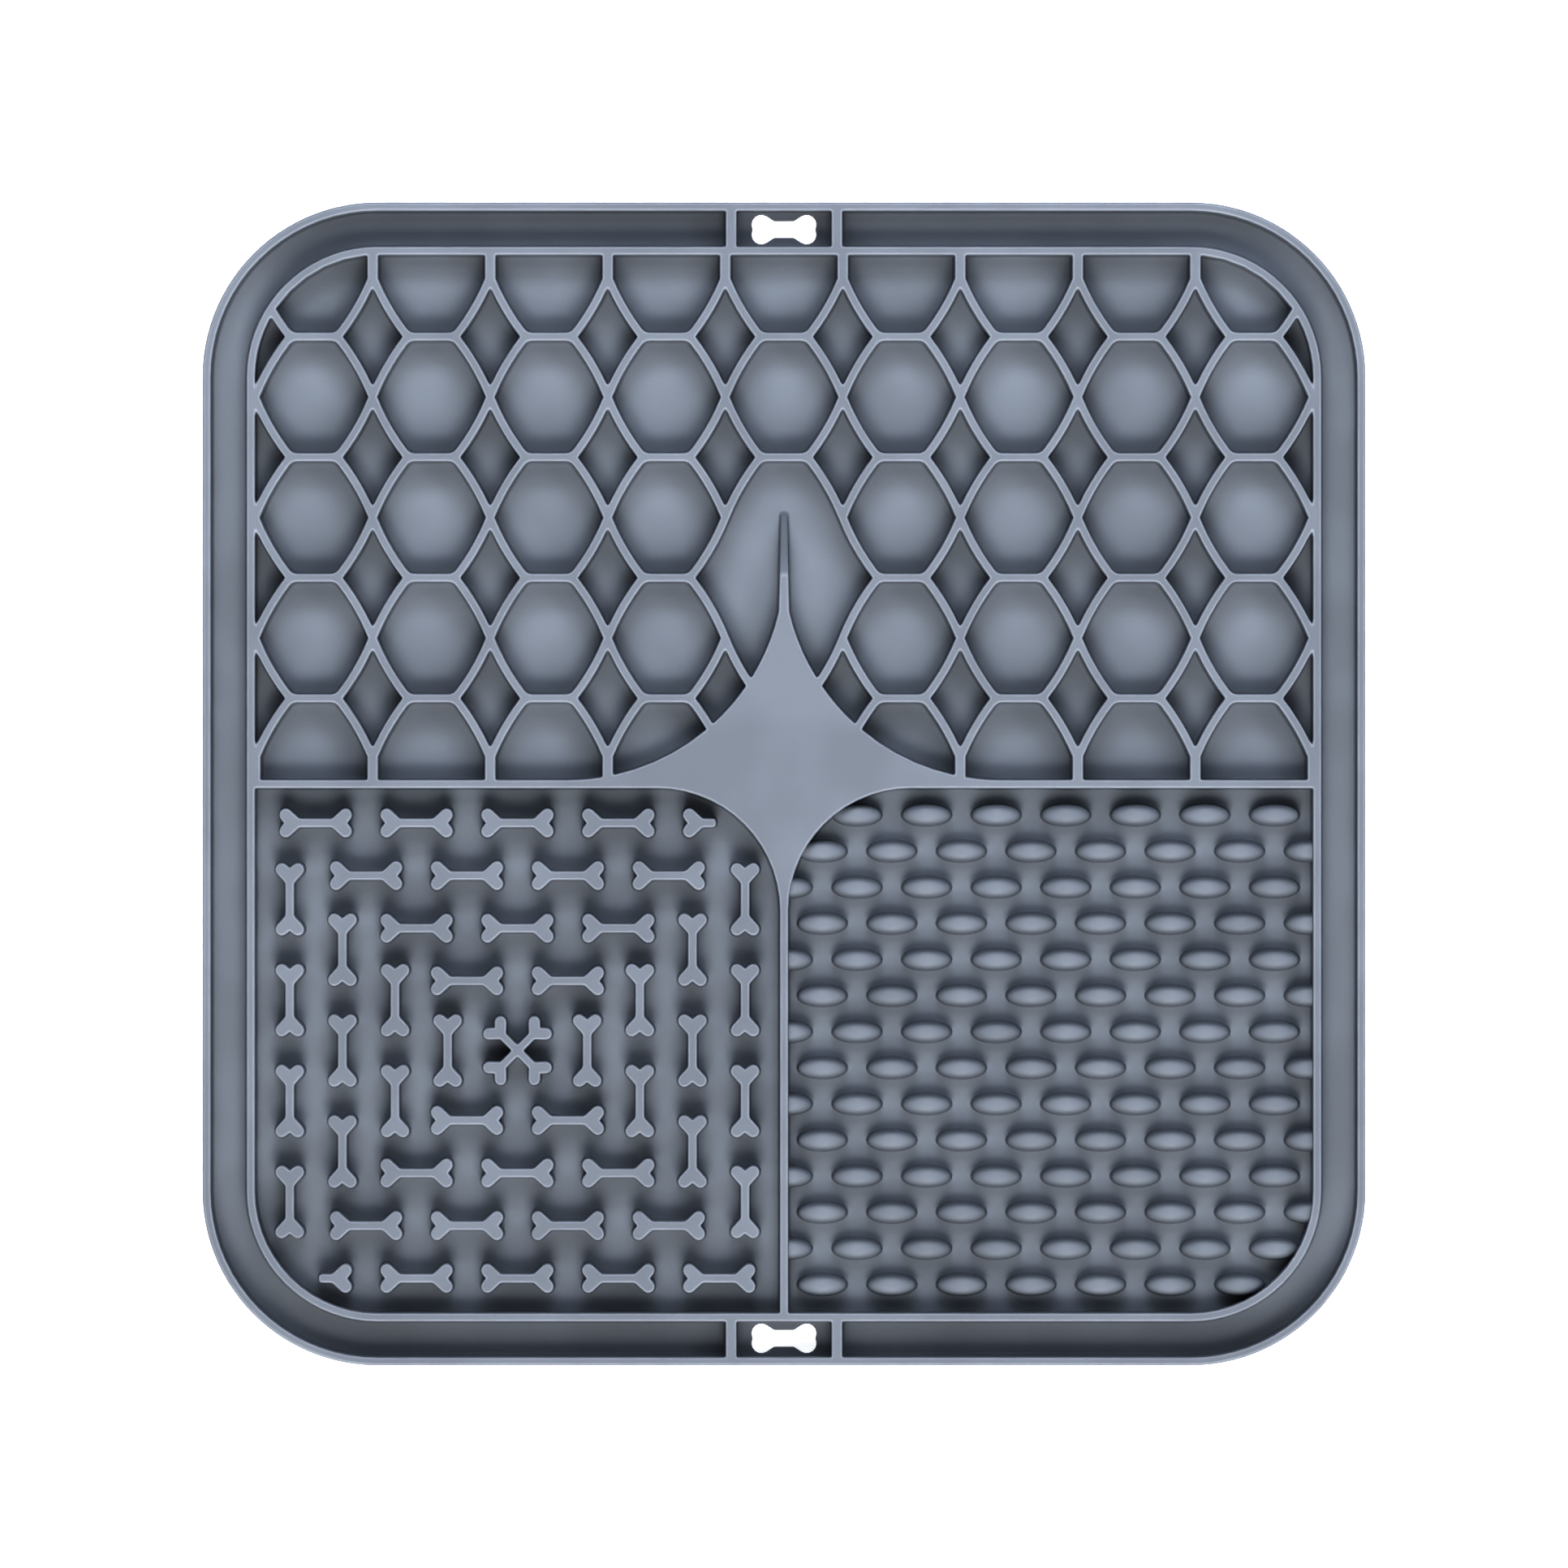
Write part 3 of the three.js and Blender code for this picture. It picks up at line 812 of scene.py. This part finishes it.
@dataclass
class Honeycomb:
    """Rows of flat bars with bowed slanted ribs, cut off by the frame and by the star.

    The spike is the star's back point. star_meets_rib is a rough place for the corner where the
    star's arc ends, from which the true one is found.
    """

    sizes: Sizes
    columns: int = 9
    bar_rows: int = 4
    first_bar_y: float = 14.74
    row_pitch: float = 20.73
    bar_length: float = 8.1
    rib: float = 1.5
    bow: float = 0.45
    post: float = 1.9
    star_reach: float = 37.3
    star_meets_rib: tuple[float, float] = (6.4, 17.6)
    spike_full_y: float = 36.0
    spike_tip_y: float = 46.6
    spike_root_half: float = 0.95
    spike_tip_half: float = 0.5
    root_easing: float = 4.0
    tip_easing: float = 0.45
    bend: float = 1.7
    section: Section = Section(foot=0.35)
    rib_steps: int = 5
    spike_steps: int = 3

    @property
    def pitch(self) -> float:
        """The distance between columns."""
        return 2 * self.sizes.field / self.columns

    @property
    def lowest_y(self) -> float:
        """The middle of the lowest row of cells."""
        return self.first_bar_y - self.row_pitch / 2

    @property
    def star_arc(self) -> Side:
        """The star's hollow arc at the right of the spike."""
        centre = (self.star_reach, self.sizes.wall / 2 + self.star_reach)
        return Side(*centre, radius=self.star_reach, steps=self.rib_steps, span=(LEFT, FRONT))

    def slanted(self, x: float, y: float, right: int, up: int, region: Region) -> Side:
        """The face of a slanted rib of the cell round (x, y).

        The rib's centre line is an arc from the end of the flat bar to the corner at the cell's
        side, bowed away from the cell. Its radius is (h squared + b squared) / 2b for half a
        chord h and a bow b.

        Args:
            x: The x of the cell's middle.
            y: Its y.
            right: 1 for a rib at the cell's right, -1 for one at its left.
            up: 1 for a rib at its back, -1 for one at its front.
            region: INSIDE for the face that looks into the cell, OUTSIDE for the other one.
        """
        bar = np.array((x + right * self.bar_length / 2, y + up * self.row_pitch / 2))
        corner = np.array((x + right * self.pitch / 2, y))
        chord = np.hypot(*(corner - bar)) / 2
        along = (corner - bar) / (2 * chord)
        outward = np.array((right * abs(along[1]), up * abs(along[0])))
        radius = (chord**2 + self.bow**2) / (2 * self.bow)
        centre = (bar + corner) / 2 + outward * (self.bow - radius)
        face = radius - region.value * self.rib / 2
        return Side(*centre, radius=face, region=region, steps=self.rib_steps)

    def _bar(self, y: float, above: int) -> Side:
        """The face of a flat bar at y, as the back wall (1) or the front wall (-1) of a cell."""
        return Side(0, y - above * self.rib / 2, facing=FRONT if above > 0 else BACK, easing=self.bend)

    def _hollow(self, x: float, y: float, half: float, sides: Sequence[Side]) -> Outline | None:
        """The hollow round (x, y) between sides, cut off by the frame, the divider and the star."""
        s = self.sizes
        inner = s.field - s.field_corner
        wall = Side(s.field, 0, facing=LEFT)
        corner = Side(inner, inner, radius=s.field_corner, steps=self.rib_steps, span=(RIGHT, BACK))
        bounds = [wall.mirrored(), wall, Side(0, s.field, facing=FRONT), Side(0, s.wall / 2, facing=BACK),
                  corner, corner.mirrored()]
        if x >= 0:
            bounds.append(self.star_arc)
        if x <= 0:
            bounds.append(self.star_arc.mirrored())
        reach = np.array((half, self.row_pitch / 2))
        return enclosed([*sides, *bounds], (x, y) - reach, (x, y) + reach)

    def cell(self, x: float, y: float, open_to: int = 0) -> Outline | None:
        """A cell, or what is left of it.

        Args:
            x: The x of its middle.
            y: The y of its middle.
            open_to: 0 for slanted ribs and a bar both ways, 1 for posts in their place at the
                back and -1 for posts at the front.
        """
        ways = (-open_to,) if open_to else (1, -1)
        sides = [self.slanted(x, y, r, u, Region.INSIDE) for r in (1, -1) for u in ways]
        sides += [self._bar(y + u * self.row_pitch / 2, u) for u in ways]
        if open_to:
            post = (self.pitch - self.post) / 2
            sides += [Side(x + post, 0, facing=LEFT), Side(x - post, 0, facing=RIGHT)]
        return self._hollow(x, y, self.pitch / 2, sides)

    def diamond(self, x: float, y: float) -> Outline | None:
        """The gap between four cells, centred between the ends of two bars."""
        dx, dy = self.pitch / 2, self.row_pitch / 2
        ways = [(right, up) for right in (1, -1) for up in (1, -1)]
        sides = [self.slanted(x - r * dx, y - u * dy, r, u, Region.OUTSIDE) for r, u in ways]
        return self._hollow(x, y, dx - self.bar_length / 2, sides)

    def outlines(self) -> list[Outline]:
        """Every cell and gap but the wide cell round the spike."""
        found = []
        last = (self.columns - 1) // 2
        for column in range(-last, last + 1):
            x = column * self.pitch
            found.append(self.cell(x, self.lowest_y, -1))
            found.append(self.cell(x, self.lowest_y + self.bar_rows * self.row_pitch, 1))
            for row in range(1, self.bar_rows):
                if column != 0 or row == self.bar_rows - 1:
                    found.append(self.cell(x, self.lowest_y + row * self.row_pitch))
        for column in range(-last, last + 2):
            x = (column - 0.5) * self.pitch
            for row in range(self.bar_rows):
                if abs(x) > self.pitch or row != 1:
                    found.append(self.diamond(x, self.first_bar_y + row * self.row_pitch))
        return [outline for outline in found if outline is not None]

    def spike_cell(self) -> Array:
        """The rings of the wide cell round the star's spike.

        The cell takes the room of two hexagons and two gaps. The spike stands in it up to the
        full height as far as spike_full_y, and from there its ridge goes down in a straight line
        to the floor, so its end lies further back on each lower ring.
        """
        low, high = self.lowest_y + self.row_pitch, self.lowest_y + 2 * self.row_pitch
        turn = math.acos(1 - self.spike_root_half / self.star_reach)
        root = (self.spike_root_half, self.sizes.wall / 2 + self.star_reach * (1 - math.sin(turn)))
        lean = math.atan2(self.spike_root_half - self.spike_tip_half, self.spike_tip_y - root[1])
        inside, outside = Region.INSIDE, Region.OUTSIDE
        right = [
            Side(*root, facing=lean, steps=self.spike_steps),
            self.star_arc,
            self.slanted(0, low, 1, -1, inside),
            self.slanted(self.pitch, low, -1, 1, outside),
            self.slanted(self.pitch, high, -1, -1, outside),
            self.slanted(0, high, 1, 1, inside),
        ]
        bar = self._bar(high + self.row_pitch / 2, 1)
        wall = [*right, bar, *(side.mirrored() for side in reversed(right))]
        side_x, bar_x = self.pitch / 2, self.bar_length / 2
        corners = [
            root,
            self.star_meets_rib,
            (side_x, low),
            (self.pitch - bar_x - self.rib / 2, (low + high) / 2),
            (side_x, high),
            (bar_x, bar.y),
        ]
        corners += [(-x, y) for x, y in reversed(corners)]
        section = self.section
        rings = []
        for out, height in section.levels():
            fall = (section.top - height) / (section.top - section.floor)
            end_y = self.spike_full_y + fall * (self.spike_tip_y - self.spike_full_y)
            half = self.spike_tip_half + (self.spike_tip_y - end_y) * math.tan(lean)
            end = Side(0, end_y, facing=BACK, easing=self.tip_easing)
            outline = Outline([*wall, end], np.array([*corners, (-half, end_y), (half, end_y)]))
            outline.rounding[[0, len(corners) - 1]] = self.root_easing
            ring = outline.ring(out)
            rings.append(np.c_[ring, np.full(len(ring), height)])
        return np.stack(rings)

    def build(self, mat: Moulding) -> list[Array]:
        """Adds every cell to the mat.

        Returns:
            For each cell, the numbers of the points where its wall meets the mat's top.
        """
        stacks = [carried(o, fitted(o, self.section), Stands.HOLLOW) for o in self.outlines()]
        return [mat.pit(rings) for rings in (*stacks, self.spike_cell())]


@dataclass
class Border:
    """The rim, the gutter and the two tabs with bone-shaped hanging holes."""

    sizes: Sizes
    hole: Bone = Bone(length=11.2, head=5.1, shaft=2.9, lobe=1.7, notch=0.2, flare=3.9)
    gutter_section: Section = Section(foot=0.35)
    well_section: Section = Section(foot=0.2, draft=0.04, flat=0.03)
    outer_section: ThroughSection = ThroughSection(floor=0.0, edge=0.4)
    hole_section: ThroughSection = ThroughSection(top=2.0, floor=0.0, edge=0.14, flat=0.03)
    outer_steps: int = 26
    gutter_steps: int = 18

    def left_gutter(self) -> Outline:
        """The gutter from the back tab round the left to the front tab."""
        s = self.sizes
        far, near, end = s.rim_inside, s.frame_outside, -s.tab_half
        c = s.half - s.corner
        joints = [(-c, far), (-far, c), (-far, -c), (-c, -far), (end, -far), (end, -near), (-c, -near),
                  (-near, -c), (-near, c), (-c, near), (end, near), (end, far)]
        rounds = {
            ends_in: Side(-c, y, radius=reach - c, region=region, steps=self.gutter_steps)
            for reach, region, both in ((far, Region.INSIDE, (1, 3)), (near, Region.OUTSIDE, (9, 7)))
            for ends_in, y in zip(both, (c, -c))
        }
        return joined(joints, rounds)

    def back_well(self) -> Outline:
        """The hollow of the back tab, between its two cross ribs."""
        far, near = self.sizes.rim_inside, self.sizes.frame_outside
        half = self.sizes.tab_half - self.sizes.cross_rib
        return joined([(-half, far), (-half, near), (half, near), (half, far)], {})

    def build(self, mat: Moulding, fields: Sequence[Array]) -> None:
        """Adds the border, the top sheet round all hollows and the underside.

        Args:
            mat: The surface to add them to.
            fields: The points round the top of each hollow inside the frame.
        """
        s = self.sizes
        outside = rounded_square(s.half, s.corner, self.outer_steps)
        outer = mat.carry(outside, self.outer_section, Stands.RAISED)
        left = self.left_gutter()
        gutters = [carried(o, self.gutter_section, Stands.HOLLOW) for o in (left, left.mirrored())]
        tops = [*fields, *(mat.pit(rings) for rings in gutters)]
        well = carried(self.back_well(), self.well_section, Stands.HOLLOW)
        middle = (s.rim_inside + s.frame_outside) / 2
        hole = turned(carried(self.hole.outline(), self.hole_section, Stands.HOLLOW), 0, 0, middle)
        below = []
        for angle in (RIGHT, LEFT):
            walls = mat.add(turned(well, angle), Stands.HOLLOW)
            through = mat.add(turned(hole, angle), Stands.HOLLOW)
            mat.sheet(walls[-1], [through[0]])
            tops.append(walls[0])
            below.append(through[-1])
        mat.sheet(outer[0], tops)
        mat.sheet(outer[-1], below, up=False)


class NodeTree:
    """Short ways to add nodes to a tree and to link them."""

    def __init__(self, tree: bpy.types.NodeTree) -> None:
        """Takes over a tree, to add nodes to it."""
        self.tree = tree

    def add(self, kind: str, inputs: dict | None = None, **settings: object) -> bpy.types.Node:
        """Adds a node.

        Args:
            kind: The node's type, without its ShaderNode prefix.
            inputs: Values or sockets, by the name or number of the input.
            settings: The node's own properties.
        """
        node = self.tree.nodes.new(kind if kind.startswith("Node") else f"ShaderNode{kind}")
        for name, value in settings.items():
            setattr(node, name, value)
        for name, value in (inputs or {}).items():
            if isinstance(value, bpy.types.NodeSocket):
                self.tree.links.new(value, node.inputs[name])
            else:
                node.inputs[name].default_value = value
        return node

    def math(self, operation: str, *values: object) -> bpy.types.NodeSocket:
        """The result of a Math node."""
        return self.add("Math", dict(enumerate(values)), operation=operation).outputs[0]

    def ramp(self, value: bpy.types.NodeSocket, low: float, high: float) -> bpy.types.NodeSocket:
        """0 below low and 1 above high, with a soft step between."""
        inputs = {"Value": value, "From Min": low, "From Max": high}
        return self.add("MapRange", inputs, interpolation_type="SMOOTHSTEP").outputs[0]

    def mix(self, share: object, a: object, b: object) -> bpy.types.NodeSocket:
        """A mix of two colours."""
        return self.add("Mix", {0: share, 6: a, 7: b}, data_type="RGBA").outputs[2]


class NodeGroup(NodeTree):
    """A shader node group with number sockets and a Vector input."""

    def __init__(self, name: str, inputs: dict[str, float], outputs: Sequence[str]) -> None:
        """Makes the group.

        Args:
            name: Its name.
            inputs: Its number inputs and their usual values.
            outputs: The names of its number outputs.
        """
        super().__init__(bpy.data.node_groups.new(name, "ShaderNodeTree"))
        face = self.tree.interface
        face.new_socket("Vector", in_out="INPUT", socket_type="NodeSocketVector")
        for label, value in inputs.items():
            socket = face.new_socket(label, in_out="INPUT", socket_type="NodeSocketFloat")
            socket.default_value = value
        for label in outputs:
            face.new_socket(label, in_out="OUTPUT", socket_type="NodeSocketFloat")
        self.given = self.add("NodeGroupInput").outputs
        self._sink = self.add("NodeGroupOutput")

    def give(self, name: str, value: bpy.types.NodeSocket) -> None:
        """Links a result to one of the group's outputs."""
        self.tree.links.new(value, self._sink.inputs[name])

    def texture(self, kind: str, size: str, **settings: float) -> bpy.types.Node:
        """A texture whose features are as large as the input of that name, in millimetres."""
        scale = self.math("DIVIDE", 1 / MM, self.given[size])
        inputs = {"Vector": self.given["Vector"], "Scale": scale}
        return self.add(kind, inputs | {name.title(): value for name, value in settings.items()})


@dataclass(frozen=True)
class MouldedSilicone:
    """Matte moulded silicone: an even colour, a fine grain, a painted highlight on the rounded edges,
    painted shade in the fillets at the feet, and lint.

    Sizes and depths of the grain, the patches of the painted highlight and shade, and the lint are
    in millimetres. The mottle makes the colour and the roughness a little uneven, and edge_polish
    is how much smoother a rounded edge is.
    """

    name: str = "silicone"
    colour: tuple[float, float, float] = (0.188, 0.206, 0.227)
    # Painted highlight: a pale colour laid on the rounded top edges, where light catches them.
    edge_highlight_colour: tuple[float, float, float] = (0.33, 0.35, 0.385)
    # Painted shade: a dark colour laid in the fillets at the feet of walls, pegs and bones, where shade
    # falls.
    crease_shade_colour: tuple[float, float, float] = (0.06, 0.063, 0.083)
    lint_colour: tuple[float, float, float] = (0.62, 0.63, 0.65)
    roughness: float = 0.6
    specular: float = 0.3
    grain_size: float = 0.25
    grain_depth: float = 0.012
    mottle_scale: float = 45.0
    mottle_range: tuple[float, float] = (0.36, 0.64)
    mottle_colour: float = 0.05
    mottle_roughness: float = 0.06
    # The size of the noise that makes the painted highlight and shade uneven, and the form value at which
    # they are full.
    light_mask_size: float = 4.0
    light_mask_full: float = 0.9
    # How strongly the painted highlight is laid on the rounded edges; edge_polish only makes their
    # roughness lower.
    edge_highlight_amount: float = 0.5
    edge_polish: float = 0.08
    # How strongly the painted shade is laid in the fillets at the feet.
    crease_shade_amount: float = 0.35
    lint_size: float = 0.12
    lint_spacing: float = 5.0
    lint_amount: float = 0.35

    def _grain(self) -> bpy.types.NodeTree:
        """The group that gives the mould's fine grain, as a height, and a slow mottle.

        Height is a noise of the grain's size times its depth, and the mottle is a noise with
        patches a few centimetres wide.
        """
        group = NodeGroup("mould_grain", {"Size": 0.25, "Depth": 0.01}, ("Height", "Mottle"))
        fine = group.texture("TexNoise", "Size", detail=1.0, roughness=0.6)
        place = group.given["Vector"]
        broad = group.add("TexNoise", {"Vector": place, "Scale": self.mottle_scale, "Detail": 2.0})
        group.give("Height", group.math("MULTIPLY", fine.outputs[0], group.given["Depth"]))
        group.give("Mottle", broad.outputs[0])
        return group.tree

    def _edge_highlight_and_foot_shade(self) -> bpy.types.NodeTree:
        """The group that gives the masks of the rounded edges, which get a painted highlight and a smoother
        finish, and of the fillets at the feet, which get painted shade, from the surface's form value.

        Each mask rises from 0 to 1 with the form value on its own side of 0, made uneven by a
        noise.
        """
        group = NodeGroup("form_highlight_and_shade", {"Form": 0.0, "Size": 3.0}, ("Edge", "Corner"))
        noise = group.texture("TexNoise", "Size", detail=1.0)
        uneven = group.add("MapRange", {"Value": noise.outputs[0], "From Min": 0.3, "From Max": 0.7,
                                        "To Min": 0.7, "To Max": 1.0}).outputs[0]
        for name, way in (("Edge", 1.0), ("Corner", -1.0)):
            form = group.math("MULTIPLY", group.given["Form"], way)
            group.give(name, group.math("MULTIPLY", group.ramp(form, 0.0, self.light_mask_full), uneven))
        return group.tree

    def _lint(self) -> bpy.types.NodeTree:
        """The group that scatters specks of dust, which silicone picks up.

        A speck is 1 in the middle of a Voronoi cell and falls to 0 at a random share of Size.
        """
        group = NodeGroup("lint_specks", {"Spacing": 5.0, "Size": 0.1}, ("Mask",))
        cells = group.texture("TexVoronoi", "Spacing")
        away = group.math("MULTIPLY", cells.outputs["Distance"], group.given["Spacing"])
        size = group.math("MULTIPLY", cells.outputs["Color"], group.given["Size"])
        share = group.math("DIVIDE", away, group.math("MAXIMUM", size, TINY))
        group.give("Mask", group.math("MAXIMUM", group.math("SUBTRACT", 1.0, share), 0.0))
        return group.tree

    def make(self) -> bpy.types.Material:
        """The finished material."""
        material = bpy.data.materials.new(self.name)
        material.use_nodes = True
        nodes = NodeTree(material.node_tree)
        nodes.tree.nodes.clear()
        place = nodes.add("TexCoord").outputs["Object"]
        form = nodes.add("Attribute", attribute_name="form").outputs["Fac"]
        grain, light_masks, lint = (
            nodes.add("Group", {"Vector": place, **inputs}, node_tree=tree)
            for tree, inputs in (
                (self._grain(), {"Size": self.grain_size, "Depth": self.grain_depth}),
                (self._edge_highlight_and_foot_shade(), {"Form": form, "Size": self.light_mask_size}),
                (self._lint(), {"Spacing": self.lint_spacing, "Size": self.lint_size}),
            )
        )
        mottle = nodes.ramp(grain.outputs["Mottle"], *self.mottle_range)
        shades = (1 - self.mottle_colour, 1 + self.mottle_colour)
        colour = nodes.mix(mottle, *((*(shade * c for c in self.colour), 1.0) for shade in shades))
        # Painted shade darkens the fillets at the feet, a painted highlight lightens the rounded edges,
        # then pale lint specks go on top.
        for mask, amount, tint in (
            (light_masks.outputs["Corner"], self.crease_shade_amount, self.crease_shade_colour),
            (light_masks.outputs["Edge"], self.edge_highlight_amount, self.edge_highlight_colour),
            (lint.outputs["Mask"], self.lint_amount, self.lint_colour),
        ):
            colour = nodes.mix(nodes.math("MULTIPLY", mask, amount), colour, (*tint, 1.0))
        rough = nodes.add("MapRange", {
            "Value": grain.outputs["Mottle"],
            "To Min": self.roughness + self.mottle_roughness,
            "To Max": self.roughness - self.mottle_roughness,
        }).outputs[0]
        polish = nodes.math("MULTIPLY", light_masks.outputs["Edge"], self.edge_polish)
        bump = nodes.add("Bump", {"Height": grain.outputs["Height"], "Distance": MM, "Strength": 1.0})
        shader = nodes.add("BsdfPrincipled", {
            "Base Color": colour,
            "Roughness": nodes.math("SUBTRACT", rough, polish),
            "Specular IOR Level": self.specular,
            "Normal": bump.outputs[0],
        })
        nodes.add("OutputMaterial", {0: shader.outputs[0]})
        return material


@dataclass(frozen=True)
class SoftLight:
    """A soft rectangular light that looks at the mat.

    azimuth is where it stands round the mat, 0 at the back and 90 at the right, and elevation is
    how high it stands, both in degrees. away is its distance in metres, size its width along the
    horizon and its height, and power is in watts.
    """

    name: str
    azimuth: float
    elevation: float
    away: float
    size: tuple[float, float]
    power: float
    tint: tuple[float, float, float]

    def build(self) -> None:
        """Adds the light to the scene."""
        around, up = math.radians(self.azimuth), math.radians(self.elevation)
        data = bpy.data.lights.new(self.name, "AREA")
        data.shape = "RECTANGLE"
        data.size, data.size_y = self.size
        data.energy = self.power
        data.color = self.tint
        place = Vector((math.sin(around) * math.cos(up), math.cos(around) * math.cos(up), math.sin(up)))
        made = placed(self.name, data)
        made.location = self.away * place
        made.rotation_euler = (-place).to_track_quat("-Z", "Y").to_euler()


# Tints of the lights.
WARM, COOL, BLUE = (1.0, 0.975, 0.94), (0.97, 0.95, 0.99), (0.89, 0.92, 1.0)


@dataclass(frozen=True)
class Studio:
    """A pale floor, soft lights and a camera straight above the mat.

    contrast is the display's gamma. Below 1 it deepens the dark parts, as the photo does.
    """

    seen_width: float = 0.2696
    camera_height: float = 4.0
    camera_range: float = 10.0
    top: float = 0.009
    contrast: float = 0.55
    floor_radius: float = 2.4
    floor_bevel: float = 0.02
    floor_points: int = 96
    floor_colour: tuple[float, ...] = (0.6, 0.6, 0.6, 1)
    floor_roughness: float = 0.9
    floor_specular: float = 0.1
    floor_glow: float = 0.8
    sky_colour: tuple[float, ...] = (0.8, 0.9, 1.0, 1.0)
    sky_strength: float = 0.01
    lights: tuple[SoftLight, ...] = (
        SoftLight("front_low", 180, 36, 3.0, (3.2, 0.9), 57.0, COOL),
        SoftLight("front_key", 180, 52, 3.0, (1.2, 0.7), 31.0, WARM),
        SoftLight("front_high", 180, 66, 3.0, (1.2, 0.7), 52.0, WARM),
        SoftLight("front_top", 180, 72, 3.0, (3.2, 0.9), 37.0, COOL),
        SoftLight("back_wide", 0, 60, 0.9, (1.44, 0.42), 7.9, BLUE),
        SoftLight("back_key", 0, 50, 0.9, (0.42, 0.24), 3.0, BLUE),
        SoftLight("right_light", 90, 50, 1.5, (0.7, 0.4), 4.5, BLUE),
    )

    def floor(self) -> bpy.types.Object:
        """A wide pale floor with a bevelled edge."""
        mesh = bpy.data.meshes.new("studio_floor")
        count, bevel = self.floor_points, self.floor_bevel
        ring = np.c_[heading(np.linspace(0, WHOLE_TURN, count, endpoint=False)), np.zeros(count)]
        edge = ring * (self.floor_radius + bevel) - (0, 0, bevel)
        points = np.concatenate([ring * self.floor_radius, edge])
        ids = np.arange(count)
        ahead = np.roll(ids, -1)
        band = np.stack([ids, ids + count, ahead + count, ahead], axis=1)
        mesh.from_pydata(points.tolist(), [], [ids.tolist(), *band.tolist()])
        material = bpy.data.materials.new("studio_floor")
        material.use_nodes = True
        shader = material.node_tree.nodes["Principled BSDF"].inputs
        shader["Base Color"].default_value = self.floor_colour
        shader["Roughness"].default_value = self.floor_roughness
        shader["Specular IOR Level"].default_value = self.floor_specular
        shader["Emission Color"].default_value = (1, 1, 1, 1)
        shader["Emission Strength"].default_value = self.floor_glow
        mesh.materials.append(material)
        return placed("studio_floor", mesh)

    def build(self) -> None:
        """Sets up the floor, the lights and the camera."""
        self.floor()
        for light in self.lights:
            light.build()
        world = bpy.data.worlds.new("studio")
        world.use_nodes = True
        sky = world.node_tree.nodes["Background"].inputs
        sky["Color"].default_value = self.sky_colour
        sky["Strength"].default_value = self.sky_strength
        scene = bpy.context.scene
        scene.world = world
        scene.view_settings.view_transform = "Standard"
        scene.view_settings.gamma = self.contrast
        data = bpy.data.cameras.new("camera")
        data.sensor_fit = "HORIZONTAL"
        data.lens = data.sensor_width * (self.camera_height - self.top) / self.seen_width
        data.clip_end = self.camera_range
        scene.camera = placed("camera", data)
        scene.camera.location = (0.0, 0.0, self.camera_height)


@dataclass
class LickMat:
    """The whole mat: honeycomb, bones, pegs and border in one moulding."""

    sizes: Sizes = Sizes()
    finish: MouldedSilicone = MouldedSilicone()

    def build(self) -> bpy.types.Object:
        """Builds the mat as one piece and dresses it."""
        mat = Moulding()
        tops = Honeycomb(self.sizes).build(mat)
        log.info("honeycomb: %d cells", len(tops))
        tops.append(BoneField(self.sizes).build(mat))
        tops.append(PegField(self.sizes).build(mat))
        Border(self.sizes).build(mat, tops)
        piece = mat.piece("moulded_mat", self.finish.make())
        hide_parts("mat", "hang_tab_back", "hang_tab_front")
        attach(piece, "root")
        triangles = sum(len(face.vertices) - 2 for face in piece.data.polygons)
        log.info("%s: %d triangles", piece.name, triangles)
        return piece


def main() -> None:
    """Builds the mat and its studio."""
    logging.basicConfig(level=logging.INFO, format="%(name)s: %(message)s")
    LickMat().build()
    Studio().build()


if __name__ == "__main__":
    main()
